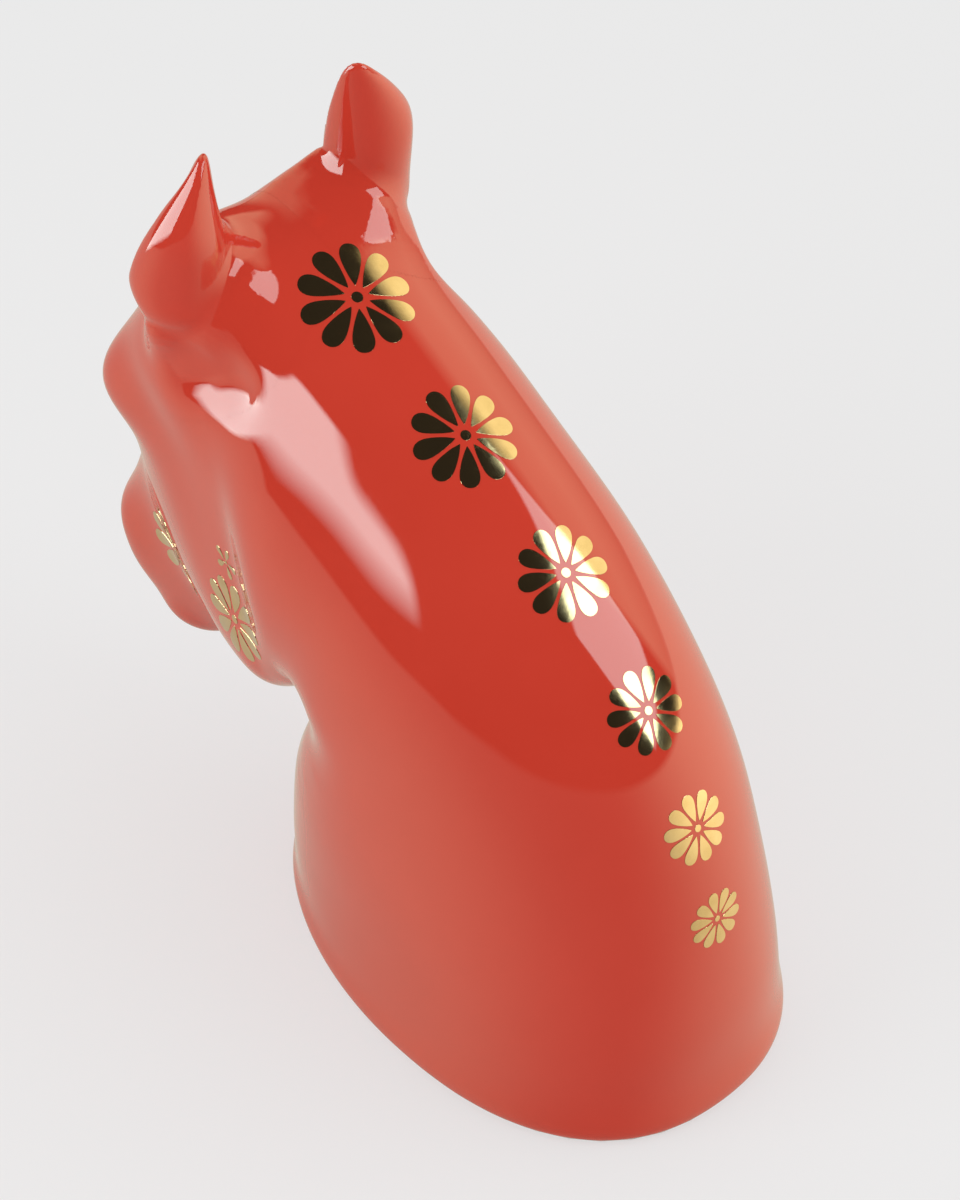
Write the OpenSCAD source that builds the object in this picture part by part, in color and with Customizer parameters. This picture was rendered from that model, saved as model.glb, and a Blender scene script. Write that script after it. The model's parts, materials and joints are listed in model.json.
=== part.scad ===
// Porcelain bust of a horse, head and neck, with gold rosettes. Millimetres, +Z up, the horse faces +X.

/* [Figure] */
// Length from the back of the foot to the tip of the muzzle
figure_l = 180; // [140:1:230]
// Width across the foot
figure_w = 83; // [66:1:108]
// Height of the poll above the table
poll_h = 157; // [125:1:200]

/* [Casting] */
// Thickness of the cast porcelain wall
wall_t = 4; // [3:0.5:6]
// Thickness of the plate that closes the hollow
base_t = 4; // [3:0.5:8]
// Diameter of the vent hole in the plate
vent_d = 8; // [5:1:14]

/* [Ears] */
// Length of an ear from its root to its tip
ear_l = 44; // [36:1:56]
// Width of an ear
ear_w = 18.5; // [14:0.5:24]
// Depth of an ear from front to back
ear_d = 20.5; // [15:0.5:26]
// Thickness left behind the hollow of an ear
ear_t = 4; // [3:0.5:6]

/* [Gold] */
// Thickness of the gold laid on the glaze
gold_t = 0.4; // [0.3:0.1:0.8]
// Radius of the largest rosette on the crest
rosette_r = 12; // [9:0.5:13]
// Radius of the smallest rosette on the crest
rosette_end_r = 6.5; // [5:0.5:9]
// Petals of a rosette
petals = 10; // [8:1:12]
// Radius of a cheek rosette
cheek_r = 10; // [7:0.5:11]
// Radius of a cheek blossom
blossom_r = 4; // [3:0.5:5]
// Petals of a blossom
blossom_petals = 5; // [4:1:6]
// Radius of a muzzle rosette
muzzle_r = 10.5; // [6:0.5:11]

/* [Hidden] */
// Sizes that the rows below are drawn for
drawn_l = 180;
drawn_w = 83;
drawn_h = 157;
kx = figure_l / drawn_l;
ky = figure_w / drawn_w;
kz = poll_h / drawn_h;
kr = min(kx, ky, kz);

// Rows from the foot to the lips: crest x and z, front x and z, half width,
// place of the widest point from the crest, roundness behind and in front
profile = [
    [-62, 0, 57, 0, 40, 0.45, 2.3, 2.0],
    [-63.5, 3, 58.5, 2.5, 41.5, 0.45, 2.3, 2.0],
    [-62.5, 12, 57.5, 8, 40.5, 0.46, 2.3, 2.0],
    [-62, 30, 56.5, 18, 39.5, 0.48, 2.2, 2.1],
    [-59, 53, 53.5, 34, 39, 0.53, 2.05, 2.1],
    [-52, 77, 48, 44.5, 38, 0.58, 2.0, 2.1],
    [-37, 99, 42, 52, 37, 0.62, 2.0, 2.0],
    [-13, 119, 38, 57, 37.5, 0.64, 2.0, 2.0],
    [16, 135, 37, 60, 37, 0.64, 2.05, 2.2],
    [44, 148, 40, 60.5, 36, 0.62, 2.2, 2.5],
    [66, 156, 44.5, 55, 30.5, 0.60, 2.4, 3.2],
    [83, 151, 50, 49, 28.5, 0.60, 2.5, 3.6],
    [95, 132, 58, 45, 27, 0.54, 2.8, 3.4],
    [101, 110, 68, 40, 23, 0.46, 2.8, 2.8],
    [105, 88, 77, 36, 18, 0.42, 2.6, 2.2],
    [112, 67, 85, 29.5, 16, 0.45, 2.6, 2.1],
    [116, 54, 91, 24, 15.5, 0.48, 2.5, 2.2],
    [110, 38, 98, 24, 11.5, 0.50, 2.0, 2.0]
];

// Swellings and hollows on both sides: centre x, y and z, radius, height
reliefs = [
    [96, 25, 111, 11, 10],
    [91, 30, 101, 7, -2.5],
    [91, 30, 102, 4, 2],
    [46, 25, 62, 14, 3.5],
    [32, 30, 84, 14, -3],
    [108, 14, 54, 8, 2.5],
    [112, 12, 49, 4, -2],
    [101, 14, 36, 5, -1.5],
    [71, 19, 152, 12, 5],
    [72, 28, 129, 12, 5],
    [76, 25, 148, 10, 6],
    [63, 25, 143, 9, 5.5],
    [83, 28, 131, 10, 4.5],
    [91, 23, 126, 9, 1.5],
    [65, 28, 134, 6, -2.5]
];

// Rings and sides of the skin, and rings of the hollow
rings = 60;
sides = 40;
hollow_rings = 22;
// Rows between which the hollow runs above the plate
hollow_from = 3;
hollow_to = 13.4;
// Wall in front of the hollow, thicker because the throat folds in there
front_t = wall_t * 2.5;
// Height of the rounded lips and its steps in degrees
lip_h = 5 * kr;
lip_steps = [25, 50, 70];

// Rows of the crest rosettes, from the poll to the foot, and how each is turned
crest_rows = [9.15, 8, 7, 6, 5, 4.1];
crest_turns = [6, 4, 1, 2, 3, 3];
// Row and angle round the skin of the other gold flowers, and the turn of the muzzle rosette
cheek_at = [10.6, 103.5];
blossom_at = [10.4, 91.2];
muzzle_at = [13.6, 101];
muzzle_turn = 18;

// Steps by which directions on the skin are measured: along the rows, then round them in degrees
row_step = 0.02;
along_step = 0.05;
turn_step = 1;
round_step = 2;
least = 0.000001;

// Petal sizes as shares of the rosette's radius
petal_far = 0.81;
petal_end = 0.17;
petal_near = 0.27;
petal_tip = 0.05;
eye_r = 0.1;
// How far a petal reaches into the skin before it is trimmed
petal_deep = 7 * kr;

// Ear root, and its lean to the back, lean inwards and turn outwards in degrees
ear_at = [73 * kx, 25 * ky, 141 * kz];
ear_back = 8;
ear_in = 6;
ear_turn = 42;
// Ear levels: height, shift to the front, depth, shift outwards and width, as shares of the ear's sizes
ear_levels = [
    [-0.32, -0.08, 0.25, -0.50, 0.25], [-0.20, -0.08, 0.60, -0.30, 0.60], [-0.08, -0.06, 0.80, -0.10, 0.80],
    [0, -0.04, 0.86, -0.02, 0.87], [0.09, -0.02, 0.93, 0, 0.90],
    [0.18, 0.01, 0.98, 0.01, 0.94], [0.27, 0.04, 1, 0.03, 0.98], [0.36, 0.04, 0.97, 0.07, 1],
    [0.45, 0.04, 0.89, 0.10, 1], [0.55, 0.04, 0.76, 0.15, 0.97], [0.64, 0.04, 0.62, 0.17, 0.89],
    [0.73, 0.03, 0.47, 0.17, 0.75], [0.82, 0.02, 0.32, 0.16, 0.59], [0.91, -0.01, 0.19, 0.15, 0.39]
];
ear_top = ear_levels[len(ear_levels) - 1];
// Hollow of an ear: its turn inwards in degrees and its place to the front as a share of the depth,
// then levels with height, shift outwards and size as shares
ear_open_turn = 38;
ear_open_at = 0.5;
ear_open = [
    [0.14, 0, 0.3], [0.3, 0.03, 0.75], [0.45, 0.10, 0.8],
    [0.6, 0.16, 0.75], [0.75, 0.17, 0.55], [0.86, 0.16, 0.3]
];
ear_tip_r = 1.2;
disc_t = 0.4;

// Facets of the vent hole, the ears, the ear tips, and the two ends of a petal
vent_facets = 32;
ear_facets = 24;
tip_facets = 16;
petal_facets = 14;
petal_tip_facets = 6;

porcelain = [0.80, 0.25, 0.20];
biscuit = [0.93, 0.91, 0.87];
gold = [0.86, 0.70, 0.38];

// Rows scaled to the chosen sizes, with one more row reflected past each end
function sized(r) = [r[0] * kx, r[1] * kz, r[2] * kx, r[3] * kz, r[4] * ky, r[5], r[6], r[7]];
last_row = len(profile) - 1;
rows = [for (r = profile) sized(r)];
function row_or_past(i) =
    i < 0 ? 2 * rows[0] - rows[1] :
    i > last_row ? 2 * rows[last_row] - rows[last_row - 1] : rows[i];

// Smooth curve through four rows, between the middle two
function eased(a, b, c, d, t) =
    (2 * b + (c - a) * t + (2 * a - 5 * b + 4 * c - d) * t * t + (3 * b - a - 3 * c + d) * t * t * t) / 2;
function row_at(u) =
    let (i = min(floor(u), last_row - 1))
    eased(row_or_past(i - 1), row_or_past(i), row_or_past(i + 1), row_or_past(i + 2), u - i);

// The row drawn in by t behind and at the sides, and by f in front
function drawn_in(r, t, f) =
    let (run = [r[2] - r[0], r[3] - r[1]], way = run / norm(run))
    [r[0] + way.x * t, r[1] + way.y * t, r[2] - way.x * f, r[3] - way.y * f, r[4] - t, r[5], r[6], r[7]];

// The last row drawn together into a dome over the lips
function lip_row(a) =
    let (r = row_at(last_row), run = [r[2] - r[0], r[3] - r[1]], out = [-run.y, run.x] / norm(run))
    let (mid = [r[0], r[1]] + run * r[5], push = out * lip_h * sin(a), k = cos(a))
    let (top = mid + ([r[0], r[1]] - mid) * k + push, low = mid + ([r[2], r[3]] - mid) * k + push)
    [top.x, top.y, low.x, low.y, r[4] * k, r[5], r[6], r[7]];

// Point of a row at an angle round it, from the crest by the left side to the front
function curve_share(v, n) = sign(v) * pow(abs(v), 2 / n);
function point_on(r, a) =
    let (crest = [r[0], r[1]], front = [r[2], r[3]], mid = crest + (front - crest) * r[5])
    let (n = cos(a) > 0 ? r[6] : r[7], arm = cos(a) > 0 ? crest - mid : front - mid)
    let (reach = mid + arm * abs(curve_share(cos(a), n)))
    [reach.x, r[4] * curve_share(sin(a), n), reach.y];

// Height of the reliefs at a point
function relief_of(p, e, side) =
    let (off = p - [e[0] * kx, side * e[1] * ky, e[2] * kz])
    e[4] * kr * exp(-(off * off) / (e[3] * e[3] * kr * kr));
function total(v, i = 0) = i < len(v) ? v[i] + total(v, i + 1) : 0;
function relief_at(p) = total([for (e = reliefs, side = [-1, 1]) relief_of(p, e, side)]);
function unit(v) = v / max(norm(v), least);

// Skin grid with its outward directions, then the skin with its reliefs and any growth
skin_rows = concat([for (i = [0 : rings]) row_at(i * last_row / rings)], [for (a = lip_steps) lip_row(a)]);
skin_end = len(skin_rows) - 1;
angles = [for (j = [0 : sides - 1]) j * 360 / sides];
plain = [for (r = skin_rows) [for (a = angles) point_on(r, a)]];
function outward(g, i, j) =
    unit(cross(g[min(i + 1, skin_end)][j] - g[max(i - 1, 0)][j],
        g[i][(j + 1) % sides] - g[i][(j + sides - 1) % sides]));
function flat_if_foot(v, i) = i == 0 ? [v.x, v.y, 0] : v;
shaped = [for (i = [0 : skin_end]) [for (j = [0 : sides - 1])
    plain[i][j] + flat_if_foot(outward(plain, i, j), i) * relief_at(plain[i][j])]];
function grown(t) = [for (i = [0 : skin_end]) [for (j = [0 : sides - 1])
    shaped[i][j] + (t == 0 ? [0, 0, 0] : flat_if_foot(outward(shaped, i, j), i) * t)]];
function middle(r) = [(r[0] + r[2]) / 2, 0, (r[1] + r[3]) / 2];
lip_point = middle(lip_row(90));
lip_out = unit(lip_point - middle(row_at(last_row)));

// Place on the skin with the directions along the crest, across it and outwards
function skin_point(u, a) =
    let (p = point_on(row_at(u), a))
    p + unit(cross(point_on(row_at(u + row_step), a) - point_on(row_at(u - row_step), a),
        point_on(row_at(u), a + turn_step) - point_on(row_at(u), a - turn_step))) * relief_at(p);
function skin_frame(u, a) =
    let (along = unit(skin_point(u + along_step, a) - skin_point(u - along_step, a)))
    let (round = unit(skin_point(u, a + round_step) - skin_point(u, a - round_step)))
    let (out = unit(cross(along, round)))
    [along, unit(cross(out, along)), out, skin_point(u, a)];

// Faces of a tube of rings, each ring of the same number of points
function tube_faces(n, first = 0) = [for (i = [0 : n - 2]) for (j = [0 : sides - 1])
    let (a = first + i * sides, b = a + sides, k = (j + 1) % sides)
    each [[a + j, b + k, b + j], [a + j, a + k, b + k]]];
function fan_faces(first, tip) = [for (j = [0 : sides - 1]) [first + j, first + (j + 1) % sides, tip]];
function turned_over(f) = [for (t = f) [t[0], t[2], t[1]]];
function joined(g) = [for (r = g) each r];

// Rings of the hollow: two upright ones for the plate, then the skin's rows drawn in
foot_row = drawn_in(rows[0], wall_t, wall_t);
seat_row = [foot_row[0], base_t, foot_row[2], base_t, foot_row[4], foot_row[5], foot_row[6], foot_row[7]];
function hollow_u(i) = hollow_from + (hollow_to - hollow_from) * i / hollow_rings;
neck_rows = [for (i = [0 : hollow_rings]) drawn_in(row_at(hollow_u(i)), wall_t, front_t)];
hollow_rows = concat([foot_row, seat_row], neck_rows);
hollow = [for (r = hollow_rows) [for (a = angles) point_on(r, a)]];
hollow_tip = middle(hollow_rows[len(hollow_rows) - 1]);

module skin_solid(t) {
    polyhedron(
        points = concat(joined(grown(t)), [lip_point + lip_out * t, [0, 0, 0]]),
        faces = concat(
            tube_faces(skin_end + 1),
            fan_faces(skin_end * sides, (skin_end + 1) * sides),
            turned_over(fan_faces(0, (skin_end + 1) * sides + 1))));
}

module horse_body() {
    outer_n = (skin_end + 1) * sides;
    inner_n = len(hollow_rows) * sides;
    tip = outer_n + inner_n;
    color(porcelain)
        polyhedron(
            points = concat(joined(shaped), joined(hollow), [lip_point, hollow_tip]),
            faces = concat(
                tube_faces(skin_end + 1),
                fan_faces(skin_end * sides, tip),
                turned_over(tube_faces(len(hollow_rows), outer_n)),
                turned_over(fan_faces(outer_n + inner_n - sides, tip + 1)),
                [for (j = [0 : sides - 1]) let (k = (j + 1) % sides)
                    each [[j, outer_n + k, k], [j, outer_n + j, outer_n + k]]]));
}

module base_plate() {
    color(biscuit)
        linear_extrude(base_t)
            difference() {
                polygon([for (p = hollow[0]) [p.x, p.y]]);
                translate([(foot_row[0] + foot_row[2]) / 2 + foot_row[4] / 2, 0])
                    circle(d = vent_d, $fn = vent_facets);
            }
}

module ear_disc(level, forward, d, outward, w) {
    translate([forward, outward, level * ear_l])
        scale([d / 2, w / 2, 1])
            cylinder(h = disc_t, r = 1, $fn = ear_facets);
}

module blade_disc(e) {
    ear_disc(e[0], ear_d * e[1], ear_d * e[2], ear_w * e[3], ear_w * e[4]);
}

module ear_blade() {
    for (i = [0 : len(ear_levels) - 2])
        hull() {
            blade_disc(ear_levels[i]);
            blade_disc(ear_levels[i + 1]);
        }
    hull() {
        blade_disc(ear_top);
        translate([ear_d * ear_top[1], ear_w * ear_top[3], ear_l - ear_tip_r])
            sphere(r = ear_tip_r, $fn = tip_facets);
    }
}

module open_disc(e) {
    open_w = ear_w - 2 * ear_t;
    open_d = ear_d - ear_t;
    ear_disc(e[0], ear_d * ear_open_at, open_d * e[2], ear_w * e[1], open_w * e[2]);
}

module ear_hollow() {
    rotate([0, 0, -ear_open_turn])
        for (i = [0 : len(ear_open) - 2])
            hull() {
                open_disc(ear_open[i]);
                open_disc(ear_open[i + 1]);
            }
}

module ear(side) {
    color(porcelain)
        difference() {
            scale([1, side, 1])
                translate(ear_at)
                    rotate([ear_in, -ear_back, ear_turn])
                        difference() {
                            ear_blade();
                            ear_hollow();
                        }
            skin_solid(0);
        }
}

module petal(r) {
    hull() {
        translate([r * petal_far, 0, -petal_deep])
            cylinder(h = 2 * petal_deep, r = r * petal_end, $fn = petal_facets);
        translate([r * petal_near, 0, -petal_deep])
            cylinder(h = 2 * petal_deep, r = r * petal_tip, $fn = petal_tip_facets);
    }
}

module flower(at, r, n, turn) {
    f = skin_frame(at[0], at[1]);
    place = [[f[0].x, f[1].x, f[2].x, f[3].x], [f[0].y, f[1].y, f[2].y, f[3].y],
        [f[0].z, f[1].z, f[2].z, f[3].z], [0, 0, 0, 1]];
    color(gold)
        difference() {
            intersection() {
                multmatrix(place) {
                    for (k = [0 : n - 1])
                        rotate(turn + k * 360 / n)
                            petal(r);
                    translate([0, 0, -petal_deep])
                        cylinder(h = 2 * petal_deep, r = r * eye_r, $fn = petal_facets);
                }
                skin_solid(gold_t);
            }
            skin_solid(0);
        }
}

module crest_rosette(i) {
    steps = len(crest_rows) - 1;
    r = (rosette_r * (steps - i) + rosette_end_r * i) / steps;
    flower([crest_rows[i], 0], r, petals, crest_turns[i]);
}

module crest_rosette_1() {
    crest_rosette(0);
}

module crest_rosette_2() {
    crest_rosette(1);
}

module crest_rosette_3() {
    crest_rosette(2);
}

module crest_rosette_4() {
    crest_rosette(3);
}

module crest_rosette_5() {
    crest_rosette(4);
}

module crest_rosette_6() {
    crest_rosette(5);
}

module left_ear() {
    ear(1);
}

module right_ear() {
    ear(-1);
}

module left_cheek_rosette() {
    flower(cheek_at, cheek_r, petals, 0);
}

module right_cheek_rosette() {
    mirror([0, 1, 0])
        left_cheek_rosette();
}

module left_cheek_blossom() {
    flower(blossom_at, blossom_r, blossom_petals, 0);
}

module right_cheek_blossom() {
    mirror([0, 1, 0])
        left_cheek_blossom();
}

module left_muzzle_rosette() {
    flower(muzzle_at, muzzle_r, petals, muzzle_turn);
}

module right_muzzle_rosette() {
    mirror([0, 1, 0])
        left_muzzle_rosette();
}

horse_body();
base_plate();
left_ear();
right_ear();
crest_rosette_1();
crest_rosette_2();
crest_rosette_3();
crest_rosette_4();
crest_rosette_5();
crest_rosette_6();
left_cheek_rosette();
right_cheek_rosette();
left_cheek_blossom();
right_cheek_blossom();
left_muzzle_rosette();
right_muzzle_rosette();
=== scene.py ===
import bpy
import bmesh
import json
from functools import partial
from math import atan2, cos, degrees, radians, sin
from mathutils import Vector, Matrix
from mathutils.bvhtree import BVHTree

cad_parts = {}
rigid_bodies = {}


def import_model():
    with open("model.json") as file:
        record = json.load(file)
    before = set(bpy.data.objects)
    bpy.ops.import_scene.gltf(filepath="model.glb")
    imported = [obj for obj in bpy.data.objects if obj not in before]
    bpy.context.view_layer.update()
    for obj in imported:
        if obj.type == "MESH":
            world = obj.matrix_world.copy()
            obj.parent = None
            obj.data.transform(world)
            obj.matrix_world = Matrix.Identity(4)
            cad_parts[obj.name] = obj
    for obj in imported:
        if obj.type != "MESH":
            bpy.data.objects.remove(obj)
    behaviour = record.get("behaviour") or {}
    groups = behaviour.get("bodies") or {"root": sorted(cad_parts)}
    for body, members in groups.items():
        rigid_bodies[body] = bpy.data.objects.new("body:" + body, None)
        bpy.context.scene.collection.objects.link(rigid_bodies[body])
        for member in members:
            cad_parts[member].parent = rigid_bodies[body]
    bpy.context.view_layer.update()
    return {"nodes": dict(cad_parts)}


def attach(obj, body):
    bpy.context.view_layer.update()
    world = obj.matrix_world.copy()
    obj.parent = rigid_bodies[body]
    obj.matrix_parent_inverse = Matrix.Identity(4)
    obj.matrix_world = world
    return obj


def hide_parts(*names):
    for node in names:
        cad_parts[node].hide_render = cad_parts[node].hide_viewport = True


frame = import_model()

mm = 0.001
hair = 0.01          # closer than this counts as the same place
ownBody = "root"
print("stage 1: frame loaded", sorted(frame["nodes"]))


# small helpers for picking and editing

def pickOnly(piece):
    if bpy.context.object and bpy.context.object.mode != "OBJECT":
        bpy.ops.object.mode_set(mode="OBJECT")
    bpy.ops.object.select_all(action="DESELECT")
    piece.select_set(True)
    bpy.context.view_layer.objects.active = piece


def editPiece(piece):
    pickOnly(piece)
    bpy.ops.object.mode_set(mode="EDIT")
    bpy.ops.mesh.select_mode(type="VERT")
    bpy.ops.mesh.select_all(action="DESELECT")


def pickVerts(piece, test):
    grid = bmesh.from_edit_mesh(piece.data)
    for vert in grid.verts:
        vert.select_set(bool(test(vert.co)))
    grid.select_flush_mode()
    bmesh.update_edit_mesh(piece.data)


def pickFaces(piece, test):
    bpy.ops.mesh.select_mode(type="FACE")
    grid = bmesh.from_edit_mesh(piece.data)
    for face in grid.faces:
        face.select_set(bool(test(face.calc_center_median())))
    bmesh.update_edit_mesh(piece.data)


def doneEditing():
    bpy.ops.object.mode_set(mode="OBJECT")


def useModifier(piece, kind, name, **settings):
    pickOnly(piece)
    tool = piece.modifiers.new(name, kind)
    for key, value in settings.items():
        setattr(tool, key, value)
    bpy.ops.object.modifier_apply(modifier=tool.name)


def cadCopy(node, name):
    piece = bpy.data.objects.new(name, frame["nodes"][node].data.copy())
    bpy.context.collection.objects.link(piece)
    piece.data.materials.clear()
    return piece


def ownCopy(piece, name):
    twin = piece.copy()
    twin.data = piece.data.copy()
    twin.name = name
    bpy.context.collection.objects.link(twin)
    return twin


def settle(piece):
    pickOnly(piece)
    bpy.ops.object.transform_apply(location=True, rotation=True, scale=True)


def mirror(piece):
    editPiece(piece)
    bpy.ops.mesh.select_all(action="SELECT")
    bpy.ops.transform.resize(value=(1, -1, 1), center_override=(0, 0, 0))
    bpy.ops.mesh.flip_normals()
    doneEditing()


# small helpers for materials and light

mixFirst, mixSecond, mixOut = 6, 7, 2     # the colour sockets of a Mix node


def newMaterial(name):
    material = bpy.data.materials.new(name)
    material.use_nodes = True
    tree = material.node_tree
    return material, tree.nodes, tree.links, tree.nodes["Principled BSDF"]


def feed(links, value, socket):
    if hasattr(value, "is_linked"):
        links.new(value, socket)
    else:
        socket.default_value = value


def noiseOn(nodes, links, scale, detail=3.0):
    coords = nodes.new("ShaderNodeTexCoord")
    noise = nodes.new("ShaderNodeTexNoise")
    noise.inputs["Scale"].default_value = scale
    noise.inputs["Detail"].default_value = detail
    links.new(coords.outputs["Object"], noise.inputs["Vector"])
    return noise.outputs["Fac"]


def spread(nodes, links, source, low, high, fromLow=0.3, fromHigh=0.7):
    mapped = nodes.new("ShaderNodeMapRange")
    mapped.inputs["From Min"].default_value = fromLow
    mapped.inputs["From Max"].default_value = fromHigh
    mapped.inputs["To Min"].default_value = low
    mapped.inputs["To Max"].default_value = high
    links.new(source, mapped.inputs["Value"])
    return mapped.outputs["Result"]


def maths(nodes, links, kind, first, second):
    node = nodes.new("ShaderNodeMath")
    node.operation = kind
    feed(links, first, node.inputs[0])
    feed(links, second, node.inputs[1])
    return node.outputs[0]


def twoColours(nodes, links, factor, first, second):
    mix = nodes.new("ShaderNodeMix")
    mix.data_type = "RGBA"
    links.new(factor, mix.inputs["Factor"])
    feed(links, first, mix.inputs[mixFirst])
    feed(links, second, mix.inputs[mixSecond])
    return mix.outputs[mixOut]


def twoShaders(nodes, links, factor, first, second):
    mix = nodes.new("ShaderNodeMixShader")
    for source, socket in zip((factor, first, second), mix.inputs):
        links.new(source, socket)
    return mix.outputs[0]


def relief(nodes, links, shader, height, depth):
    bump = nodes.new("ShaderNodeBump")
    bump.inputs["Strength"].default_value = 1.0
    bump.inputs["Distance"].default_value = depth
    links.new(height, bump.inputs["Height"])
    links.new(bump.outputs["Normal"], shader.inputs["Normal"])


# materials

glazeLook = {
    "thin": (0.625, 0.052, 0.030, 1),     # where the red glaze lies thin
    "thick": (0.590, 0.044, 0.024, 1),    # where it has pooled
    "poolScale": 22.0,
    "waveScale": 55.0,                    # slow waves of the glaze, one about 18 mm long
    "waveDepth": 0.06 * mm,
    "grainScale": 900.0,
    "gloss": (0.025, 0.05),               # roughness
    "ior": 1.6,
    "bareFoot": (0.80, 0.76, 0.70, 1),    # the rim that stands on the table is wiped bare
    "bareDull": 0.75,
    "wiped": (0.15 * mm, 0.4 * mm),       # bare below the first height, glazed above the second
}


def makeGlaze():
    material, nodes, links, shader = newMaterial("coralGlaze")
    pool = noiseOn(nodes, links, glazeLook["poolScale"])
    red = twoColours(nodes, links, spread(nodes, links, pool, 0, 1), glazeLook["thin"], glazeLook["thick"])
    coords = nodes.new("ShaderNodeTexCoord")
    split = nodes.new("ShaderNodeSeparateXYZ")
    links.new(coords.outputs["Object"], split.inputs["Vector"])
    wiped = spread(nodes, links, split.outputs["Z"], 1, 0, *glazeLook["wiped"])
    links.new(twoColours(nodes, links, wiped, red, glazeLook["bareFoot"]), shader.inputs["Base Color"])
    grain = noiseOn(nodes, links, glazeLook["grainScale"], 2.0)
    gloss = spread(nodes, links, grain, *glazeLook["gloss"])
    bare = spread(nodes, links, wiped, 0, glazeLook["bareDull"], 0, 1)
    links.new(maths(nodes, links, "MAXIMUM", gloss, bare), shader.inputs["Roughness"])
    shader.inputs["IOR"].default_value = glazeLook["ior"]
    wave = noiseOn(nodes, links, glazeLook["waveScale"], 1.0)
    relief(nodes, links, shader, wave, glazeLook["waveDepth"])
    return material


goldLook = {
    "bright": (0.68, 0.48, 0.27, 1),
    "deep": (0.60, 0.41, 0.21, 1),
    "toneScale": 260.0,
    "gloss": (0.07, 0.14),                # roughness
    "brushScale": 420.0,
    "brushDepth": 0.012 * mm,
}


def makeGold():
    material, nodes, links, shader = newMaterial("goldLustre")
    tone = noiseOn(nodes, links, goldLook["toneScale"])
    colour = twoColours(nodes, links, spread(nodes, links, tone, 0, 1), goldLook["bright"], goldLook["deep"])
    links.new(colour, shader.inputs["Base Color"])
    shader.inputs["Metallic"].default_value = 1.0
    links.new(spread(nodes, links, tone, *goldLook["gloss"]), shader.inputs["Roughness"])
    brush = noiseOn(nodes, links, goldLook["brushScale"], 2.0)
    relief(nodes, links, shader, brush, goldLook["brushDepth"])
    return material


biscuitLook = {
    "pale": (0.84, 0.81, 0.75, 1),
    "shade": (0.76, 0.72, 0.65, 1),
    "speckScale": 500.0,
    "dull": (0.7, 0.85),                  # roughness
    "grit": 0.05 * mm,
}


def makeBiscuit():
    material, nodes, links, shader = newMaterial("bareBiscuit")
    speck = noiseOn(nodes, links, biscuitLook["speckScale"], 4.0)
    colour = twoColours(nodes, links, spread(nodes, links, speck, 0, 1),
                        biscuitLook["pale"], biscuitLook["shade"])
    links.new(colour, shader.inputs["Base Color"])
    links.new(spread(nodes, links, speck, *biscuitLook["dull"]), shader.inputs["Roughness"])
    relief(nodes, links, shader, speck, biscuitLook["grit"])
    return material


coralGlaze = makeGlaze()
goldLustre = makeGold()
bareBiscuit = makeBiscuit()
print("stage 2: materials")


# the cast horse, from the CAD skin made smooth

bodyLook = {
    "weld": 0.02 * mm,
    "quadAngle": 70,
    "footEdge": 0.1 * mm,
    "sharpFrom": 40,
    # small pulls on both sides, in mm: where, which way, and how far round it the skin follows
    "pulls": {
        "saddle": {"at": (75.5, 15, 154.8), "move": (1.0, 0.5, 4.0), "reach": 13},
        "saddleMiddle": {"at": (77, 7, 155), "move": (0.6, 0, 2.0), "reach": 11},
        "earRootInside": {"at": (74.5, 16.5, 156), "move": (0.4, 0.3, 3.5), "reach": 7},
        "earRootBehind": {"at": (64, 19, 153.5), "move": (-0.4, 0.3, 3.5), "reach": 12},
        "temple": {"at": (74, 29.5, 142), "move": (-1.0, 5.0, 3.8), "reach": 10},
        # the fold behind the jaw is pressed in along a line, with all that lies this near to it
        "jawFold": {"at": (69.5, 29.6, 132.5), "end": (55.5, 27, 137.5), "near": 1.6,
                    "move": (0.2, -3.9, -0.8), "reach": 10},
    },
    "justOver": 1.001,                    # takes in the nearest vertex itself
}


def gapTo(first, last):
    run = last - first

    def gap(co):
        if run.length == 0:
            return (co - first).length
        along = min(max((co - first).dot(run) / run.length_squared, 0), 1)
        return (co - first - run * along).length

    return gap


def pullSkin(horse):
    editPiece(horse)
    for pull in bodyLook["pulls"].values():
        for side in (1, -1):
            ends = (pull["at"], pull.get("end", pull["at"]))
            gap = gapTo(*[Vector((x, y * side, z)) * mm for x, y, z in ends])
            nearest = min(gap(vert.co) for vert in bmesh.from_edit_mesh(horse.data).verts)
            near = max(nearest * bodyLook["justOver"], pull.get("near", 0) * mm)
            pickVerts(horse, lambda co: gap(co) <= near)
            x, y, z = pull["move"]
            bpy.ops.transform.translate(value=(x * mm, y * side * mm, z * mm), use_proportional_edit=True,
                                        use_proportional_connected=False, proportional_edit_falloff="SMOOTH",
                                        proportional_size=pull["reach"] * mm)
    doneEditing()


def makeBody():
    horse = cadCopy("horse_body", "glazedHorse")
    quadAngle = radians(bodyLook["quadAngle"])
    editPiece(horse)
    bpy.ops.mesh.select_all(action="SELECT")
    bpy.ops.mesh.remove_doubles(threshold=bodyLook["weld"])
    bpy.ops.mesh.tris_convert_to_quads(face_threshold=quadAngle, shape_threshold=quadAngle)
    bpy.ops.mesh.select_all(action="DESELECT")
    pickVerts(horse, lambda co: co.z < bodyLook["footEdge"])     # the rim on the table stays flat
    bpy.ops.transform.edge_crease(value=1.0)
    doneEditing()
    useModifier(horse, "SUBSURF", "smoothSkin", levels=1, render_levels=1)
    pullSkin(horse)
    useModifier(horse, "SUBSURF", "smootherSkin", levels=1, render_levels=1)
    pickOnly(horse)
    bpy.ops.object.shade_smooth_by_angle(angle=radians(bodyLook["sharpFrom"]))
    horse.data.materials.append(coralGlaze)
    return horse


glazedHorse = makeBody()
print("stage 3: horse", len(glazedHorse.data.polygons), "faces")


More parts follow.
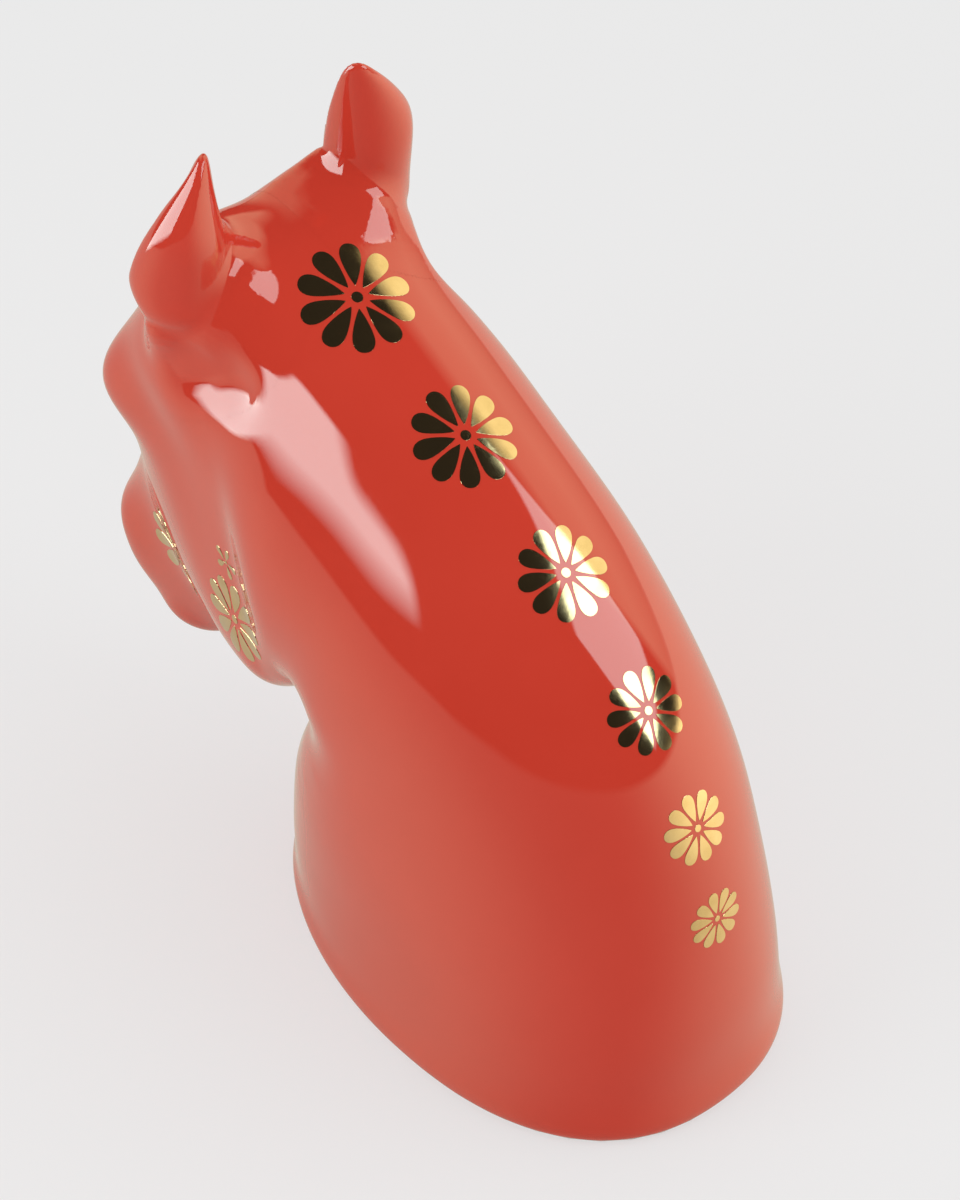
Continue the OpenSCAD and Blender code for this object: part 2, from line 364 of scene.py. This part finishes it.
def takeSheen(piece, **settings):     # what lies on the head is shaded as the head is
    useModifier(piece, "DATA_TRANSFER", "sameSheen", object=glazedHorse, use_loop_data=True,
                data_types_loops={"CUSTOM_NORMAL"}, loop_mapping="POLYINTERP_NEAREST", **settings)


# ears, a turned blade that runs into the head with a soft root

earLook = {
    "at": (73, 25, 141),
    "lean": (6, -8, 42),
    "sides": 32,
    # the outer front is fuller: degrees from its middle, from and to, and the push outwards
    "rimTurn": 45,
    "rim": ((0, 6, 1.09), (6, 17, 1.07), (17, 28, 1.045), (28, 40, 1.012)),
    # height, centre to the front, centre outwards, half depth, half width
    "rings": [
        (-8, -1.6, -9.2, 2.6, 2.3), (-3, -1.6, -5.5, 6.1, 5.5), (1, -1.4, -1.8, 8.2, 7.4),
        (4, -1.2, -0.3, 9.0, 8.2), (6.5, -0.7, 0.3, 9.7, 8.6), (9, 0.1, 0.3, 10.1, 8.9),
        (12, 0.8, 0.6, 10.2, 9.1), (16, 0.9, 1.2, 9.9, 9.25), (20, 0.9, 1.9, 9.1, 9.25),
        (24, 0.9, 2.7, 7.9, 9.0), (28, 0.8, 3.1, 6.4, 8.3), (32, 0.6, 3.1, 4.9, 7.0),
        (36, 0.3, 3.0, 3.4, 5.5), (39.5, -0.1, 2.8, 2.1, 3.9), (42, -0.3, 2.7, 1.2, 2.4),
        (43.4, -0.3, 2.7, 0.5, 1.1),
    ],
    # the hollow faces ahead: share of the width, lowest and highest ring, share of the half depth
    "openTurn": -38,
    "scoop": ((0.80, 15, 40, 0.14), (0.64, 15, 37, 0.22), (0.46, 19, 37, 0.20), (0.27, 19, 33, 0.14)),
    # the ears were set by hand, so the left one leans in more: degrees about this axis, and its length
    "set": {"axis": (-0.669, -0.743, 0), "foot": (70, 26, 150), "left": (7, 0.90), "right": (0, 1)},
    "around": ((38, -2, 100), (108, 48, 190)),     # the stretch of head that goes into the ear's skin
    "voxel": 0.7,
    # the soft root reaches less far on the side with the tight crease
    "filletBack": 10.0, "filletFront": 6.0, "tight": 62, "tightFrom": 0.1, "tightOver": 0.7,
    "fullFrom": 1.5, "restFrom": 3, "smoothRounds": (900, 60, 12),
    # the skirt on the head: how far it goes, how clear of the middle, its lift and its edge turned in
    "skirt": 17.0, "clear": 1.5, "lift": 0.02, "turnIn": 0.93, "turnInBelow": (0, 6, 12),
    "sharpFrom": 60,
}


def makeEarBlade(side):
    rings = earLook["rings"]
    start = rings[0]
    bpy.ops.object.select_all(action="DESELECT")
    bpy.ops.mesh.primitive_circle_add(vertices=earLook["sides"], radius=1, location=(0, 0, 0))
    blade = bpy.context.object
    blade.name = "earBlade"
    bpy.ops.object.mode_set(mode="EDIT")
    bpy.ops.mesh.select_mode(type="VERT")
    for nearTo, farTo, push in earLook["rim"]:
        pickVerts(blade, lambda co: nearTo <= abs(degrees(atan2(co.y, co.x)) - earLook["rimTurn"]) < farTo)
        bpy.ops.transform.resize(value=(push, push, 1), center_override=(0, 0, 0))
    bpy.ops.mesh.select_all(action="SELECT")
    bpy.ops.transform.resize(value=(start[3], start[4], 1))
    bpy.ops.transform.translate(value=(start[1], start[2], start[0]))
    for low, ring in zip(rings, rings[1:]):
        bpy.ops.mesh.extrude_region_move(TRANSFORM_OT_translate={
            "value": (ring[1] - low[1], ring[2] - low[2], ring[0] - low[0])})
        bpy.ops.transform.resize(value=(ring[3] / low[3], ring[4] / low[4], 1),
                                 center_override=(ring[1], ring[2], ring[0]))
    bpy.ops.mesh.edge_face_add()
    pickVerts(blade, lambda co: co.z < start[0] + hair)
    bpy.ops.mesh.edge_face_add()
    bpy.ops.mesh.select_all(action="SELECT")
    bpy.ops.mesh.normals_make_consistent(inside=False)
    scoopHollow(blade)
    doneEditing()
    blade.scale = (mm, mm, mm)
    blade.rotation_euler = [radians(a) for a in earLook["lean"]]
    blade.location = Vector(earLook["at"]) * mm
    settle(blade)
    foot = Vector(earLook["set"]["foot"]) * mm
    lean, length = earLook["set"][side]
    lengthen = Matrix.Diagonal((1, 1, length, 1))
    turned = Matrix.Rotation(radians(-lean), 4, Vector(earLook["set"]["axis"]))
    blade.matrix_world = Matrix.Translation(foot) @ turned @ lengthen @ Matrix.Translation(-foot)
    settle(blade)
    useModifier(blade, "SUBSURF", "smoothBlade", levels=2, render_levels=2)
    return blade


def scoopHollow(blade):
    turn = radians(earLook["openTurn"])
    ahead, aside = Vector((cos(turn), sin(turn), 0)), Vector((-sin(turn), cos(turn), 0))
    for high, front, out, deep, wide in earLook["rings"]:
        middle = Vector((front, out, high))
        reach = ((deep * sin(turn)) ** 2 + (wide * cos(turn)) ** 2) ** 0.5
        for share, low, top, press in earLook["scoop"]:
            if low <= high <= top:
                pickVerts(blade, lambda co: abs(co.z - high) < hair and (co - middle).dot(ahead) > 0
                          and abs((co - middle).dot(aside)) < share * reach)
                bpy.ops.transform.translate(value=tuple(ahead * -press * deep))


def makeSkinForm():
    form = ownCopy(glazedHorse, "skinForm")     # the outer skin alone, closed under the foot
    form.data.materials.clear()
    editPiece(form)
    pickFaces(form, lambda co: co.z < bodyLook["footEdge"])
    bpy.ops.mesh.delete(type="FACE")
    bpy.ops.mesh.select_mode(type="VERT")
    far = max(v.co.x for v in bmesh.from_edit_mesh(form.data).verts)
    pickVerts(form, lambda co: co.x > far - hair * mm)
    bpy.ops.mesh.select_linked()
    bpy.ops.mesh.select_all(action="INVERT")
    bpy.ops.mesh.delete(type="VERT")
    bpy.ops.mesh.select_non_manifold()
    bpy.ops.mesh.edge_face_add()
    doneEditing()
    return form


def treeOf(piece):
    return BVHTree.FromPolygons([v.co.copy() for v in piece.data.vertices],
                                [list(p.vertices) for p in piece.data.polygons])


def eased(t):
    t = min(max(t, 0), 1)
    return t * t * (3 - 2 * t)


def weighEar(ear, skinForm, blade):
    skinTree, bladeTree = treeOf(skinForm), treeOf(blade)
    tightSide = Matrix.Rotation(radians(earLook["tight"]), 3, "Z") @ Vector((1, 0, 0))
    middle = Vector(earLook["at"]) * mm
    back, front = earLook["filletBack"], earLook["filletFront"]
    weights = {"fillet": [], "onSkin": [], "onBlade": [], "cut": []}
    for vert in ear.data.vertices:
        toSkin = skinTree.find_nearest(vert.co)[3] / mm
        toBlade = bladeTree.find_nearest(vert.co)[3] / mm
        outward = vert.co - middle
        outward.z = 0
        tightness = (outward.normalized().dot(tightSide) - earLook["tightFrom"]) / earLook["tightOver"]
        reach = back + (front - back) * eased(tightness)
        share = eased(earLook["fullFrom"] * (1 - max(toSkin, toBlade) / reach))
        rest = 1 - eased(share * earLook["restFrom"])
        weights["fillet"].append(share)
        weights["onSkin"].append(rest if toSkin < toBlade else 0)
        weights["onBlade"].append(rest if toSkin >= toBlade else 0)
        spare = toBlade > earLook["skirt"] or vert.co.y < earLook["clear"] * mm
        weights["cut"].append(1 if spare else 0)
    for name, values in weights.items():
        group = ear.vertex_groups.new(name=name)
        for index, value in enumerate(values):
            if value > 0:
                group.add([index], value, "REPLACE")


def wrapOnto(piece, target, name, **settings):
    useModifier(piece, "SHRINKWRAP", name, target=target, wrap_method="NEAREST_SURFACEPOINT", **settings)


def makeEar(side):
    blade = makeEarBlade(side)
    skinForm = makeSkinForm()
    ear = ownCopy(skinForm, side + "Ear")
    inside = ownCopy(blade, "bladeInside")
    pickOnly(ear)
    inside.select_set(True)
    bpy.ops.object.join()
    useModifier(ear, "REMESH", "oneSkin", mode="VOXEL", voxel_size=earLook["voxel"] * mm,
                use_smooth_shade=True)
    editPiece(ear)
    low, high = [Vector(c) * mm for c in earLook["around"]]
    pickVerts(ear, lambda co: not all(low[i] < co[i] < high[i] for i in range(3)))
    bpy.ops.mesh.delete(type="VERT")
    doneEditing()
    weighEar(ear, skinForm, blade)
    wrapOnto(ear, skinForm, "backToSkin", vertex_group="onSkin", wrap_mode="ON_SURFACE", offset=0)
    wrapOnto(ear, blade, "backToBlade", vertex_group="onBlade", wrap_mode="ON_SURFACE", offset=0)
    for rounds in earLook["smoothRounds"]:     # the soft root only ever adds to ear and head
        useModifier(ear, "SMOOTH", "softRoot", factor=0.5, iterations=rounds, vertex_group="fillet")
        wrapOnto(ear, blade, "outsideBlade", wrap_mode="OUTSIDE", offset=0)
        wrapOnto(ear, skinForm, "outsideSkin", wrap_mode="OUTSIDE", offset=earLook["lift"] * mm)
    editPiece(ear)
    ear.vertex_groups.active_index = ear.vertex_groups["cut"].index
    bpy.ops.object.vertex_group_select()
    bpy.ops.mesh.delete(type="VERT")
    bpy.ops.mesh.select_non_manifold()       # the edge turns in under the glaze and is closed there
    bpy.ops.mesh.extrude_region_move()
    below = (Vector(earLook["at"]) - Vector(earLook["turnInBelow"])) * mm
    bpy.ops.transform.resize(value=(earLook["turnIn"],) * 3, center_override=tuple(below))
    bpy.ops.mesh.edge_face_add()
    bpy.ops.mesh.select_all(action="SELECT")
    bpy.ops.mesh.normals_make_consistent(inside=False)
    doneEditing()
    pickOnly(ear)
    bpy.ops.object.shade_smooth_by_angle(angle=radians(earLook["sharpFrom"]))
    takeSheen(ear, vertex_group="onSkin")
    ear.vertex_groups.clear()
    ear.data.materials.clear()
    ear.data.materials.append(coralGlaze)
    for spare in (blade, skinForm):
        bpy.data.objects.remove(spare)
    return ear


leftEar = makeEar("left")
rightEar = makeEar("right")       # made on the left, then mirrored across
mirror(rightEar)
print("stage 4: ears", len(leftEar.data.polygons), "and", len(rightEar.data.polygons), "faces")


# gold flowers, a petal modelled once

petalLook = {
    # place along the petal and half its width there, as shares of the flower's radius
    "rows": [
        (0.22, 0.006), (0.29, 0.042), (0.37, 0.078), (0.45, 0.108), (0.53, 0.135),
        (0.61, 0.158), (0.69, 0.176), (0.76, 0.185), (0.82, 0.184), (0.87, 0.173),
        (0.915, 0.154), (0.95, 0.127), (0.977, 0.093), (0.994, 0.054), (1.0, 0.018),
    ],
    "lanes": 6,
    "aside": 10,                          # where the rows wait, clear of the finished ones
    "eye": 0.10, "eyeSides": 20,
    "thick": 0.12, "sink": 0.03,          # the gold film, in mm, and how much of it lies in the glaze
}


def makePetal():
    rows = petalLook["rows"]
    steps = len(rows) - 1
    bpy.ops.object.select_all(action="DESELECT")
    bpy.ops.mesh.primitive_grid_add(x_subdivisions=steps, y_subdivisions=petalLook["lanes"], size=2,
                                    location=(0, 0, 0))
    petal = bpy.context.object
    petal.name = "petalForm"
    bpy.ops.object.mode_set(mode="EDIT")
    bpy.ops.mesh.select_mode(type="VERT")
    bpy.ops.mesh.select_all(action="SELECT")
    bpy.ops.transform.translate(value=(petalLook["aside"], 0, 0))
    for number, (along, half) in enumerate(rows):
        was = petalLook["aside"] - 1 + 2 * number / steps
        pickVerts(petal, lambda co: abs(co.x - was) < hair)
        bpy.ops.transform.resize(value=(1, half, 1), center_override=(was, 0, 0))
        bpy.ops.transform.translate(value=(along - was, 0, 0))
    doneEditing()
    return petal


def makeEye():
    sides = petalLook["eyeSides"]
    bpy.ops.object.select_all(action="DESELECT")
    bpy.ops.mesh.primitive_circle_add(vertices=sides, radius=petalLook["eye"], location=(0, 0, 0))
    eye = bpy.context.object
    eye.name = "eyeForm"
    bpy.ops.object.mode_set(mode="EDIT")
    bpy.ops.mesh.select_all(action="SELECT")
    bpy.ops.mesh.fill_grid(span=sides // 4)
    doneEditing()
    return eye


petalForm = makePetal()
eyeForm = makeEye()

flowers = {
    "crestRosette1": {"node": "crest_rosette_1", "at": (47.7, 0, 149.6), "along": (0.911, 0, 0.412),
                      "radius": 12.0, "petals": 10, "turn": 6},
    "crestRosette2": {"node": "crest_rosette_2", "at": (16, 0, 135), "along": (0.892, 0, 0.452),
                      "radius": 10.9, "petals": 10, "turn": 4},
    "crestRosette3": {"node": "crest_rosette_3", "at": (-13, 0, 119), "along": (0.828, 0, 0.560),
                      "radius": 9.8, "petals": 10, "turn": 1},
    "crestRosette4": {"node": "crest_rosette_4", "at": (-37, 0, 99), "along": (0.681, 0, 0.733),
                      "radius": 8.7, "petals": 10, "turn": 2},
    "crestRosette5": {"node": "crest_rosette_5", "at": (-52, 0, 77), "along": (0.429, 0, 0.903),
                      "radius": 7.6, "petals": 10, "turn": 3},
    "crestRosette6": {"node": "crest_rosette_6", "at": (-58.5, 0, 55.4), "along": (0.208, 0, 0.978),
                      "radius": 6.5, "petals": 10, "turn": 3},
    "leftCheekRosette": {"node": "left_cheek_rosette", "at": (54.2, 29.5, 74.3),
                         "along": (0.664, -0.045, -0.747), "radius": 10.0, "petals": 10, "turn": 0},
    "leftCheekBlossom": {"node": "left_cheek_blossom", "at": (56.1, 29.3, 89.4),
                         "along": (0.754, -0.133, -0.643), "radius": 4.0, "petals": 5, "turn": 0},
    "leftMuzzleRosette": {"node": "left_muzzle_rosette", "at": (86.2, 19.5, 62.9),
                          "along": (0.720, -0.428, -0.546), "radius": 10.5, "petals": 10, "turn": 18},
}


def makeFlower(name, look):
    parts = [ownCopy(eyeForm, name)]
    for number in range(look["petals"]):
        petal = ownCopy(petalForm, name + "Petal")
        editPiece(petal)
        bpy.ops.mesh.select_all(action="SELECT")
        turn = radians(look["turn"] + number * 360 / look["petals"])
        bpy.ops.transform.rotate(value=-turn, orient_axis="Z", center_override=(0, 0, 0))
        doneEditing()
        parts.append(petal)
    pickOnly(parts[0])
    for part in parts:
        part.select_set(True)
    bpy.ops.object.join()
    flower = parts[0]
    centre = Vector(look["at"]) * mm
    out = glazedHorse.closest_point_on_mesh(centre)[2]
    along = Vector(look["along"])
    along = (along - out * along.dot(out)).normalized()
    across = out.cross(along)
    place = Matrix((along, across, out)).transposed().to_4x4()
    place.translation = centre
    flower.matrix_world = place @ Matrix.Diagonal((look["radius"] * mm,) * 3 + (1,))
    useModifier(flower, "SHRINKWRAP", "onGlaze", target=glazedHorse, wrap_method="PROJECT", offset=0,
                use_project_z=True, use_positive_direction=True, use_negative_direction=True)
    settle(flower)
    useModifier(flower, "SOLIDIFY", "goldFilm", thickness=petalLook["thick"] * mm,
                offset=1 - 2 * petalLook["sink"] / petalLook["thick"])
    pickOnly(flower)
    bpy.ops.object.shade_smooth()
    takeSheen(flower)
    flower.data.materials.append(goldLustre)
    return flower


goldPieces = []
for name, look in flowers.items():
    flower = makeFlower(name, look)
    goldPieces.append((flower, look["node"]))
    if look["node"].startswith("left_"):
        twin = ownCopy(flower, name.replace("left", "right"))
        mirror(twin)
        goldPieces.append((twin, look["node"].replace("left_", "right_")))
for form in (petalForm, eyeForm):
    bpy.data.objects.remove(form)
print("stage 5: gold", len(goldPieces), "flowers")


# what each piece stands for

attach(glazedHorse, ownBody)
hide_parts("horse_body")
for ear, node in ((leftEar, "left_ear"), (rightEar, "right_ear")):
    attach(ear, ownBody)
    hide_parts(node)
for flower, node in goldPieces:
    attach(flower, ownBody)
    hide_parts(node)
plate = frame["nodes"]["base_plate"]
plate.data.materials.clear()
plate.data.materials.append(bareBiscuit)
print("stage 6: pieces ride on", ownBody)


# table, studio light and camera

floorLook = {
    "size": 6.0,
    "pale": (0.86, 0.86, 0.86, 1),
    "shade": (0.843, 0.843, 0.843, 1),
    "fibreScale": 1.2,
    "dull": 0.9,
    "shown": 0.82, "share": 0.70,         # the camera sees this much of a plain near white over the lit paper
}


def makeFloor():
    bpy.ops.object.select_all(action="DESELECT")
    bpy.ops.mesh.primitive_plane_add(size=floorLook["size"], location=(0, 0, 0))
    floor = bpy.context.object
    floor.name = "whiteTable"
    material, nodes, links, shader = newMaterial("whitePaper")
    shader.inputs["Roughness"].default_value = floorLook["dull"]
    shader.inputs["Specular IOR Level"].default_value = 0.0
    fibre = noiseOn(nodes, links, floorLook["fibreScale"])
    tint = twoColours(nodes, links, spread(nodes, links, fibre, 0, 1), floorLook["pale"], floorLook["shade"])
    links.new(tint, shader.inputs["Base Color"])
    path = nodes.new("ShaderNodeLightPath")
    glow = nodes.new("ShaderNodeEmission")
    glow.inputs["Strength"].default_value = floorLook["shown"]
    share = maths(nodes, links, "MULTIPLY", path.outputs["Is Camera Ray"], floorLook["share"])
    bright = twoShaders(nodes, links, share, shader.outputs[0], glow.outputs[0])
    clear = nodes.new("ShaderNodeBsdfTransparent")     # the glaze mirrors the studio set, not the paper
    seen = twoShaders(nodes, links, path.outputs["Is Glossy Ray"], bright, clear.outputs[0])
    links.new(seen, nodes["Material Output"].inputs["Surface"])
    floor.data.materials.append(material)


# what the glaze mirrors: a white table and cards, two soft boxes and the dark room above

studioLook = {
    "fill": 0.81, "fillAside": -0.36, "backdrop": 0.84, "dark": 0.03,
    "white": (1.0, 1.0, 1.0, 1), "warm": (1.0, 0.97, 0.62, 1), "paper": (1.0, 0.97, 0.82, 1),
    "cool": (0.75, 1.0, 0.98, 1),
    "table": {
        "tilt": (-0.40, -0.035), "rise": -0.12, "edge": 0.02,
        "level": 0.45, "ahead": 0.22, "aside": -0.08, "upward": 0.5,
        # where each box lights the paper
        "glow": {"azimuth": -130, "height": 0, "level": 1.55, "power": 2},
        "glowSide": {"azimuth": 65, "height": -25, "level": 0.50, "power": 6},
    },
    # half width and height and their soft edges, as slopes from the middle of each panel
    "cards": {
        "rightCard": {"azimuth": -84, "height": 22, "half": (0.56, 0.42), "soft": (0.06, 0.12), "foot": 0.30,
                      "slant": 0, "level": 1.50},
        "frontWall": {"azimuth": -22, "height": 30, "half": (0.25, 0.75), "soft": (0.10, 0.15), "foot": 0.20,
                      "slant": 0, "level": 0.90},
    },
    "boxes": {
        "sideBox": {"azimuth": 75, "height": 31, "half": (0.36, 0.37), "soft": (0.02, 0.03), "foot": 0.12,
                    "left": 1.15, "slant": 0.6, "low": 0.46, "level": 7.2},
        "crestBox": {"azimuth": -139.5, "height": 37, "half": (0.39, 0.285), "soft": (0.015, 0.015),
                     "foot": 0.015, "slant": 0, "level": 4.3},
    },
    "barelyAhead": 0.001,                 # keeps a panel from showing behind as well
}


def wayOf(azimuth, height):
    az, el = radians(azimuth), radians(height)
    return Vector((cos(el) * cos(az), cos(el) * sin(az), sin(el)))


def makeStudio():
    world = bpy.data.worlds.new("studio")
    bpy.context.scene.world = world
    world.use_nodes = True
    nodes, links = world.node_tree.nodes, world.node_tree.links
    nodes.clear()
    sums, ramp, mixed = [partial(tool, nodes, links) for tool in (maths, spread, twoShaders)]
    coords = nodes.new("ShaderNodeTexCoord").outputs["Generated"]

    def dot(axis):
        node = nodes.new("ShaderNodeVectorMath")
        node.operation = "DOT_PRODUCT"
        node.inputs[1].default_value = axis
        links.new(coords, node.inputs[0])
        return node.outputs["Value"]

    def panel(look):
        out = wayOf(look["azimuth"], look["height"])
        across = Vector((0, 0, 1)).cross(out).normalized()
        ahead = sums("MAXIMUM", dot(out), studioLook["barelyAhead"])
        u = sums("DIVIDE", dot(across), ahead)
        v = sums("DIVIDE", dot(out.cross(across)), ahead)
        wide, tall = look["half"]
        softU, softV = look["soft"]
        low = look.get("low", tall)
        left = look.get("left", wide)
        inU = sums("MULTIPLY", ramp(u, 1, 0, wide - softU, wide + softU),
                   ramp(u, 0, 1, -left - softU, -left + softU))
        top = ramp(v, 1, 0, tall - softV, tall + softV)
        overFoot = sums("SUBTRACT", v, sums("MULTIPLY", u, look["slant"]))
        foot = ramp(overFoot, 0, 1, -low - look["foot"], -low + look["foot"])
        return sums("MULTIPLY", sums("MULTIPLY", inU, top), sums("MULTIPLY", foot, look["level"]))

    def glow(look):
        near = sums("MAXIMUM", dot(wayOf(look["azimuth"], look["height"])), 0)
        return sums("MULTIPLY", sums("POWER", near, look["power"]), look["level"])

    def light(strength, colour):
        node = nodes.new("ShaderNodeBackground")
        node.inputs["Color"].default_value = colour
        feed(links, strength, node.inputs["Strength"])
        return node.outputs[0]

    table = studioLook["table"]
    x, y, z = dot((1, 0, 0)), dot((0, 1, 0)), dot((0, 0, 1))
    brim = sums("ADD", sums("MULTIPLY", x, table["tilt"][0]), sums("MULTIPLY", y, table["tilt"][1]))
    brim = sums("MAXIMUM", sums("ADD", brim, table["rise"]), table["rise"])
    under = ramp(sums("SUBTRACT", z, brim), 1, 0, -table["edge"], table["edge"])
    lit = sums("MULTIPLY", glow(table["glow"]), sums("ADD", sums("MULTIPLY", z, table["upward"]), 1.0))
    lit = sums("ADD", lit, glow(table["glowSide"]))
    warmLight = sums("MULTIPLY", under, lit)
    for look in studioLook["cards"].values():
        warmLight = sums("MAXIMUM", warmLight, panel(look))
    plain = sums("ADD", sums("MULTIPLY", x, table["ahead"]), table["level"])
    plain = sums("ADD", plain, sums("MULTIPLY", y, table["aside"]))
    plain = sums("ADD", sums("MULTIPLY", under, plain), studioLook["dark"])
    boxLight = 0.0
    for look in studioLook["boxes"].values():
        boxLight = sums("ADD", panel(look), boxLight)
    mirrored = light(warmLight, studioLook["warm"])
    for strength, colour in ((plain, studioLook["paper"]), (boxLight, studioLook["cool"])):
        both = nodes.new("ShaderNodeAddShader")
        links.new(mirrored, both.inputs[0])
        links.new(light(strength, colour), both.inputs[1])
        mirrored = both.outputs[0]
    fill = sums("ADD", sums("MULTIPLY", y, studioLook["fillAside"]), studioLook["fill"])
    path = nodes.new("ShaderNodeLightPath").outputs
    unseen = mixed(path["Is Glossy Ray"], light(fill, studioLook["white"]), mirrored)
    shown = mixed(path["Is Camera Ray"], unseen, light(studioLook["backdrop"], studioLook["white"]))
    links.new(shown, nodes.new("ShaderNodeOutputWorld").inputs["Surface"])


lampLook = {
    "aim": (0.01, 0, 0.10),
    "boxes": {
        "sideSoftbox": {"azimuth": 75, "height": 31, "away": 0.9, "size": (0.66, 0.66), "power": 2.5},
        "crestSoftbox": {"azimuth": -141, "height": 36, "away": 0.9, "size": (0.65, 0.49), "power": 1.4},
    },
}


def makeLamp(name, look):
    way = wayOf(look["azimuth"], look["height"])
    bpy.ops.object.select_all(action="DESELECT")
    bpy.ops.object.light_add(type="AREA", location=Vector(lampLook["aim"]) + way * look["away"])
    lamp = bpy.context.object
    lamp.name = name
    lamp.data.shape = "RECTANGLE"
    lamp.data.size, lamp.data.size_y = look["size"]
    lamp.data.energy = look["power"]
    lamp.rotation_euler = way.to_track_quat("Z", "Y").to_euler()
    lamp.visible_camera = False
    lamp.visible_glossy = False        # the studio set gives the mirrored boxes


cameraLook = {
    "look": (0.012, 0, 0.092), "way": (-0.5162, 0.4648, 0.7193), "away": 0.9,
    "lens": 135, "sensor": 36, "clip": 0.01,
}


def makeCamera():
    bpy.ops.object.select_all(action="DESELECT")
    look = Vector(cameraLook["look"])
    way = Vector(cameraLook["way"]).normalized()
    bpy.ops.object.camera_add(location=look + way * cameraLook["away"])
    camera = bpy.context.object
    camera.name = "photoCamera"
    camera.rotation_euler = way.to_track_quat("Z", "Y").to_euler()
    camera.data.lens = cameraLook["lens"]
    camera.data.sensor_width = cameraLook["sensor"]
    camera.data.sensor_fit = "AUTO"
    camera.data.clip_start = cameraLook["clip"]
    bpy.context.scene.camera = camera


makeFloor()
makeStudio()
for name, look in lampLook["boxes"].items():
    makeLamp(name, look)
makeCamera()
bpy.context.scene.view_settings.view_transform = "Standard"
print("stage 7: studio and camera")
